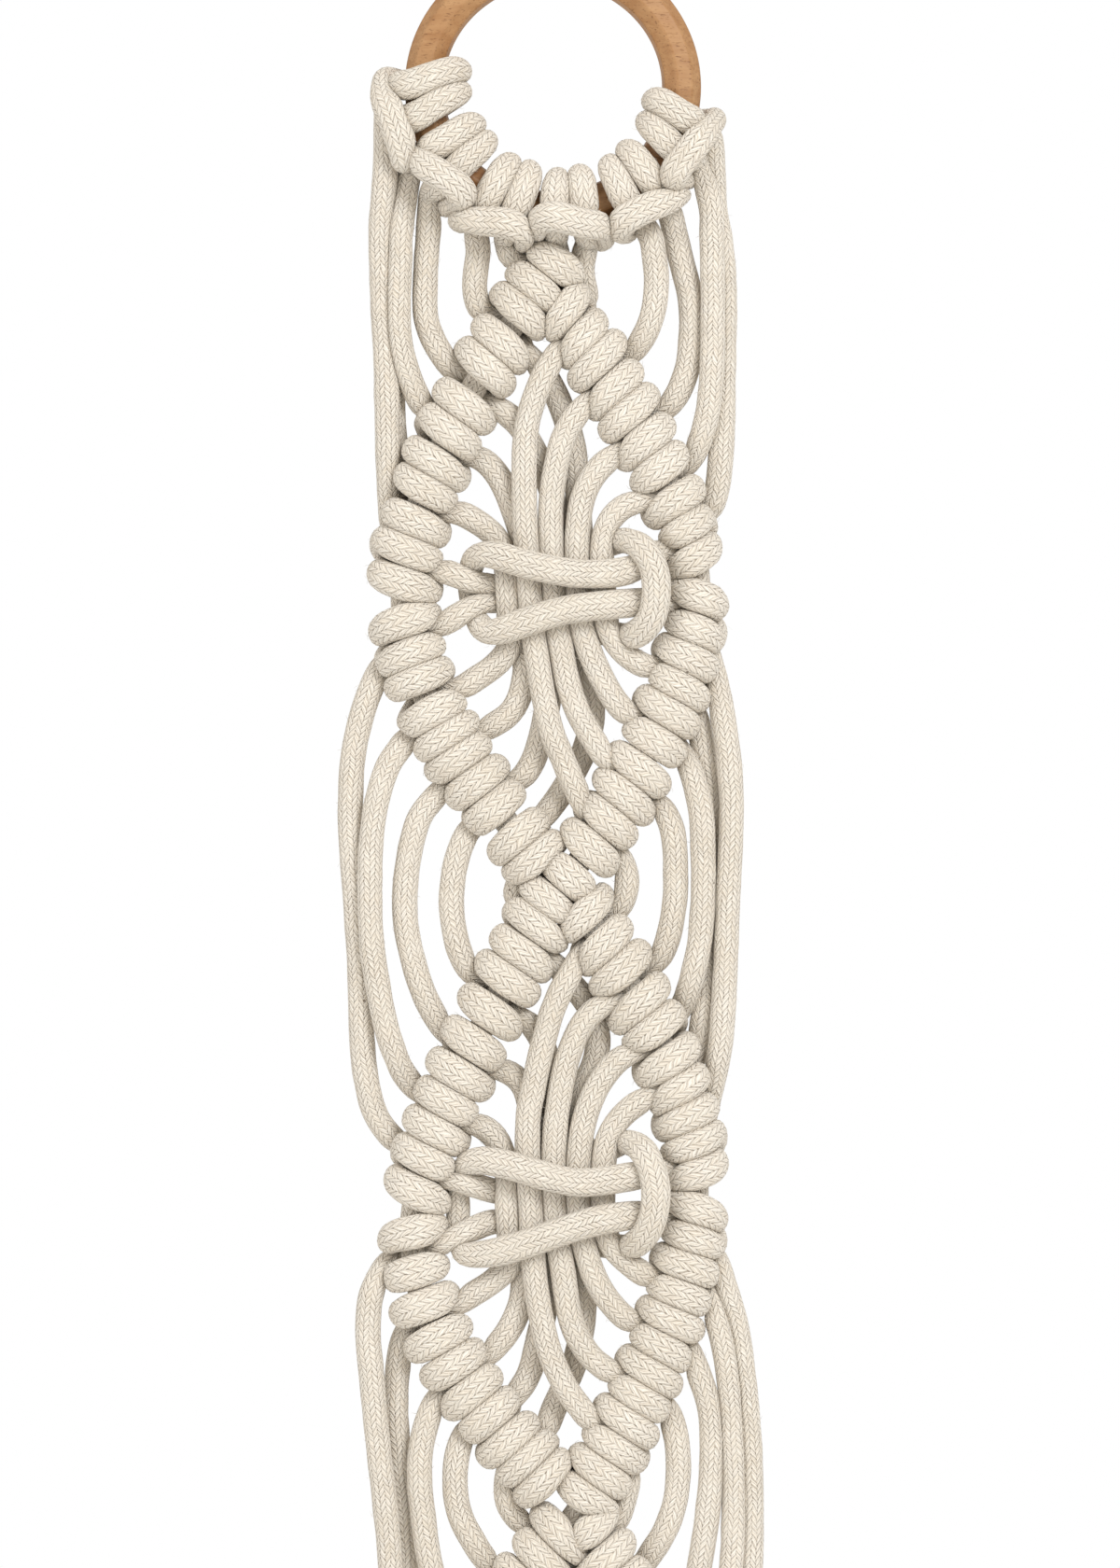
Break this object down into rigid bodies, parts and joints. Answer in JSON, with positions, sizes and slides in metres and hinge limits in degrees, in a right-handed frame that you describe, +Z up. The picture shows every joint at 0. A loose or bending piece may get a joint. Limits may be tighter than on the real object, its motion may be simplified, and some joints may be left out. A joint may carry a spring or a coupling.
{
  "type": "macrame plant hanger",
  "caption": "Plant hanger of thick natural cotton rope knotted into a chain of diamonds on a wooden ring, with a small pot cradle and a tassel.",
  "frame": {"origin": "the point inside the top of the wooden ring that rests on its hook", "axes": "+Z up, -Y towards the front of the knotted panel, +X to the right seen from the front"},
  "size_m": [0.0991, 0.0987, 0.9893],
  "materials": {
    "beech": "smooth turned hardwood, waxed",
    "cotton_rope": "matte undyed braided cotton"
  },
  "bodies": {
    "root": {"ring": "beech", "larks_head_1": "cotton_rope", "larks_head_2": "cotton_rope", "larks_head_3": "cotton_rope", "larks_head_4": "cotton_rope", "larks_head_5": "cotton_rope", "larks_head_6": "cotton_rope", "net": "cotton_rope", "arm_knot_left": "cotton_rope", "arm_left": "cotton_rope", "basket_knot_left": "cotton_rope", "gather_left": "cotton_rope", "arm_knot_front": "cotton_rope", "arm_front": "cotton_rope", "basket_knot_front": "cotton_rope", "gather_front": "cotton_rope", "arm_knot_right": "cotton_rope", "arm_right": "cotton_rope", "basket_knot_right": "cotton_rope", "gather_right": "cotton_rope", "gathering_wrap": "cotton_rope", "tassel": "cotton_rope"}
  },
  "joints": []
}
